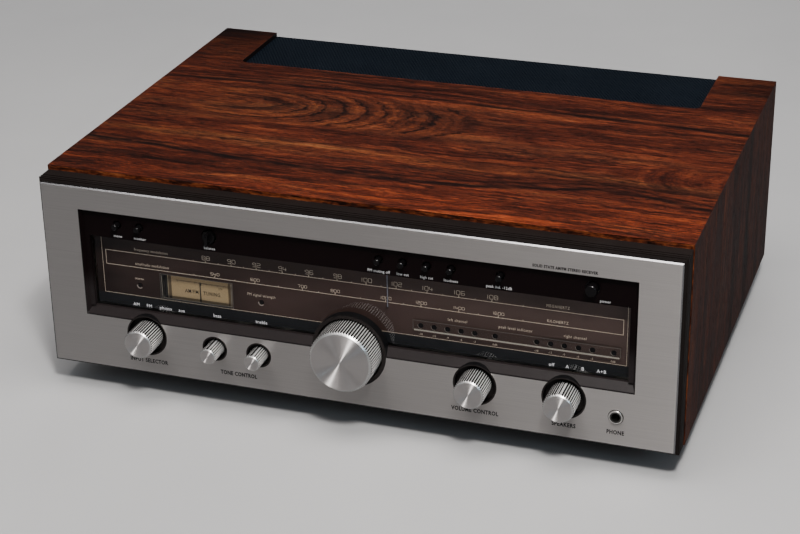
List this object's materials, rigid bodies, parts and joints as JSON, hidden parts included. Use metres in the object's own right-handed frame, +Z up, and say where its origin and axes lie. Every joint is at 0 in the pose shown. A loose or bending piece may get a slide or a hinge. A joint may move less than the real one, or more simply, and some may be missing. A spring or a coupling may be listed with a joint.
{
  "type": "stereo receiver",
  "caption": "Stereo receiver in a mitred wooden cabinet with a brushed faceplate, slide-rule tuning dial, meter, knurled knobs and a grille over the heat sink.",
  "frame": {"origin": "under the middle of the whole set, on the plane the feet stand on", "axes": "+X to the right of the front panel, +Y to the back, +Z up"},
  "size_m": [0.485, 0.39, 0.175],
  "materials": {
    "brushed_aluminium": "brushed, clear anodised",
    "black_moulding": "satin black moulding",
    "clear_acrylic": "polished clear acrylic",
    "dial_print": "dark plate with cream print",
    "pointer_white": "white, edge lit",
    "meter_card": "cream card",
    "needle_black": "matt black",
    "rail_steel": "ground steel",
    "cord_nylon": "braided nylon",
    "flywheel_steel": "turned steel",
    "drum_plastic": "moulded nylon",
    "pulley_brass": "turned brass",
    "capacitor_metal": "pressed aluminium",
    "led_lens": "dark red lens, unlit",
    "lamp_glass": "clear glass tube",
    "switch_plastic": "moulded bodies",
    "nickel": "nickel plate",
    "rosewood": "satin varnished rosewood veneer",
    "grille_black": "black enamel",
    "chassis_steel": "black enamelled steel",
    "foot_rubber": "moulded rubber",
    "screw_steel": "blackened steel",
    "transformer_iron": "varnished core",
    "sink_black": "black anodised",
    "transistor_metal": "nickel plated cans",
    "can_aluminium": "blue sleeve",
    "board_laminate": "phenolic laminate",
    "terminal_plastic": "moulded black plastic",
    "ferrite_bar": "black plastic tube",
    "cord_grey": "pale grey cord"
  },
  "bodies": {
    "receiver": {"faceplate": "brushed_aluminium", "bezel_frame": "black_moulding", "window_surround": "black_moulding", "knob_wells": "black_moulding", "dial_glass": "clear_acrylic", "meter_housing": "clear_acrylic", "peak_strip": "clear_acrylic", "dial_plate": "dial_print", "meter_face": "meter_card", "pointer_rail": "rail_steel", "dial_cord": "cord_nylon", "tuning_capacitor_frame": "capacitor_metal", "indicator_leds": "led_lens", "dial_lamps": "lamp_glass", "push_switches": "switch_plastic", "control_pots": "switch_plastic", "phone_jack": "nickel", "rca_jacks": "nickel", "cabinet_top": "rosewood", "cabinet_left_side": "rosewood", "cabinet_right_side": "rosewood", "vent_grille": "grille_black", "chassis_tray": "chassis_steel", "front_subchassis": "chassis_steel", "rear_panel": "chassis_steel", "feet": "foot_rubber", "panel_screws": "screw_steel", "power_transformer": "transformer_iron", "heat_sink": "sink_black", "output_transistors": "transistor_metal", "filter_capacitors": "can_aluminium", "circuit_boards": "board_laminate", "speaker_terminals": "terminal_plastic", "antenna_terminals": "terminal_plastic", "ac_outlets": "terminal_plastic", "power_cord": "cord_grey"},
    "tuning": {"tuning_knob": "brushed_aluminium", "tuning_spindle": "rail_steel", "tuning_flywheel": "flywheel_steel"},
    "pointer": {"dial_pointer": "pointer_white"},
    "drum": {"dial_drum": "drum_plastic"},
    "capacitor_rotor": {"tuning_capacitor_rotor": "capacitor_metal"},
    "left_idler": {"left_idler_pulley": "pulley_brass"},
    "right_idler": {"right_idler_pulley": "pulley_brass"},
    "needle": {"meter_needle": "needle_black"},
    "selector": {"input_selector_knob": "brushed_aluminium"},
    "bass": {"bass_knob": "brushed_aluminium"},
    "treble": {"treble_knob": "brushed_aluminium"},
    "volume": {"volume_knob": "brushed_aluminium"},
    "speakers": {"speaker_knob": "brushed_aluminium"},
    "balance": {"balance_knob": "black_moulding"},
    "mono": {"mono_button": "black_moulding"},
    "monitor": {"monitor_button": "black_moulding"},
    "fm_muting": {"fm_muting_button": "black_moulding"},
    "low_cut": {"low_cut_button": "black_moulding"},
    "high_cut": {"high_cut_button": "black_moulding"},
    "loudness": {"loudness_button": "black_moulding"},
    "peak_indicator": {"peak_indicator_button": "black_moulding"},
    "power": {"power_button": "black_moulding"},
    "bar_antenna": {"ferrite_antenna": "ferrite_bar"}
  },
  "joints": [
    {"name": "tuning_turn", "type": "hinge", "parent": "receiver", "child": "tuning", "pos_m": [0, -0.183, 0.0665], "axis": [0, 1, 0], "range_deg": [-1454.3, 946.2]},
    {"name": "pointer_travel", "type": "slide", "parent": "receiver", "child": "pointer", "axis": [1, 0, 0], "range_m": [-0.1524, 0.0992]},
    {"name": "drum_turn", "type": "hinge", "parent": "receiver", "child": "drum", "pos_m": [0.06, -0.149, 0.091], "axis": [0, 1, 0], "range_deg": [-293.8, 191.3]},
    {"name": "rotor_turn", "type": "hinge", "parent": "receiver", "child": "capacitor_rotor", "pos_m": [0.06, -0.116, 0.091], "axis": [0, 1, 0], "range_deg": [-110.5, 72.1]},
    {"name": "left_idler_turn", "type": "hinge", "parent": "receiver", "child": "left_idler", "pos_m": [-0.168, -0.149, 0.121], "axis": [0, 1, 0], "range_deg": [-1455.3, 947.2]},
    {"name": "right_idler_turn", "type": "hinge", "parent": "receiver", "child": "right_idler", "pos_m": [0.168, -0.149, 0.121], "axis": [0, 1, 0], "range_deg": [-1455.3, 947.2]},
    {"name": "needle_swing", "type": "hinge", "parent": "receiver", "child": "needle", "pos_m": [-0.1234, -0.158, 0.0715], "axis": [0, 1, 0], "range_deg": [-22, 22]},
    {"name": "selector_turn", "type": "hinge", "parent": "receiver", "child": "selector", "pos_m": [-0.161, -0.183, 0.0544], "axis": [0, 1, 0], "range_deg": [0, 90]},
    {"name": "bass_turn", "type": "hinge", "parent": "receiver", "child": "bass", "pos_m": [-0.106, -0.183, 0.052], "axis": [0, 1, 0], "range_deg": [-150, 150]},
    {"name": "treble_turn", "type": "hinge", "parent": "receiver", "child": "treble", "pos_m": [-0.071, -0.183, 0.052], "axis": [0, 1, 0], "range_deg": [-150, 150]},
    {"name": "volume_turn", "type": "hinge", "parent": "receiver", "child": "volume", "pos_m": [0.0946, -0.183, 0.0544], "axis": [0, 1, 0], "range_deg": [0, 300]},
    {"name": "speaker_turn", "type": "hinge", "parent": "receiver", "child": "speakers", "pos_m": [0.1596, -0.183, 0.0544], "axis": [0, 1, 0], "range_deg": [-30, 60]},
    {"name": "balance_turn", "type": "hinge", "parent": "receiver", "child": "balance", "pos_m": [-0.107, -0.176, 0.141], "axis": [0, 1, 0], "range_deg": [-150, 150]},
    {"name": "mono_press", "type": "slide", "parent": "receiver", "child": "mono", "axis": [0, 1, 0], "range_m": [0, 0.0035]},
    {"name": "monitor_press", "type": "slide", "parent": "receiver", "child": "monitor", "axis": [0, 1, 0], "range_m": [0, 0.0035]},
    {"name": "fm_muting_press", "type": "slide", "parent": "receiver", "child": "fm_muting", "axis": [0, 1, 0], "range_m": [0, 0.0035]},
    {"name": "low_cut_press", "type": "slide", "parent": "receiver", "child": "low_cut", "axis": [0, 1, 0], "range_m": [0, 0.0035]},
    {"name": "high_cut_press", "type": "slide", "parent": "receiver", "child": "high_cut", "axis": [0, 1, 0], "range_m": [0, 0.0035]},
    {"name": "loudness_press", "type": "slide", "parent": "receiver", "child": "loudness", "axis": [0, 1, 0], "range_m": [0, 0.0035]},
    {"name": "peak_indicator_press", "type": "slide", "parent": "receiver", "child": "peak_indicator", "axis": [0, 1, 0], "range_m": [0, 0.0035]},
    {"name": "power_press", "type": "slide", "parent": "receiver", "child": "power", "axis": [0, 1, 0], "range_m": [0, 0.004]},
    {"name": "antenna_swing", "type": "hinge", "parent": "receiver", "child": "bar_antenna", "pos_m": [-0.212, 0.183, 0.143], "axis": [0, 0, 1], "range_deg": [0, 90]}
  ],
  "couplings": [
    {"joint": "pointer_travel", "follows": "tuning_turn", "m_per_rad": 0.006},
    {"joint": "drum_turn", "follows": "tuning_turn", "ratio": 0.20168},
    {"joint": "rotor_turn", "follows": "tuning_turn", "ratio": 0.07563},
    {"joint": "left_idler_turn", "follows": "tuning_turn", "ratio": 1},
    {"joint": "right_idler_turn", "follows": "tuning_turn", "ratio": 1}
  ]
}
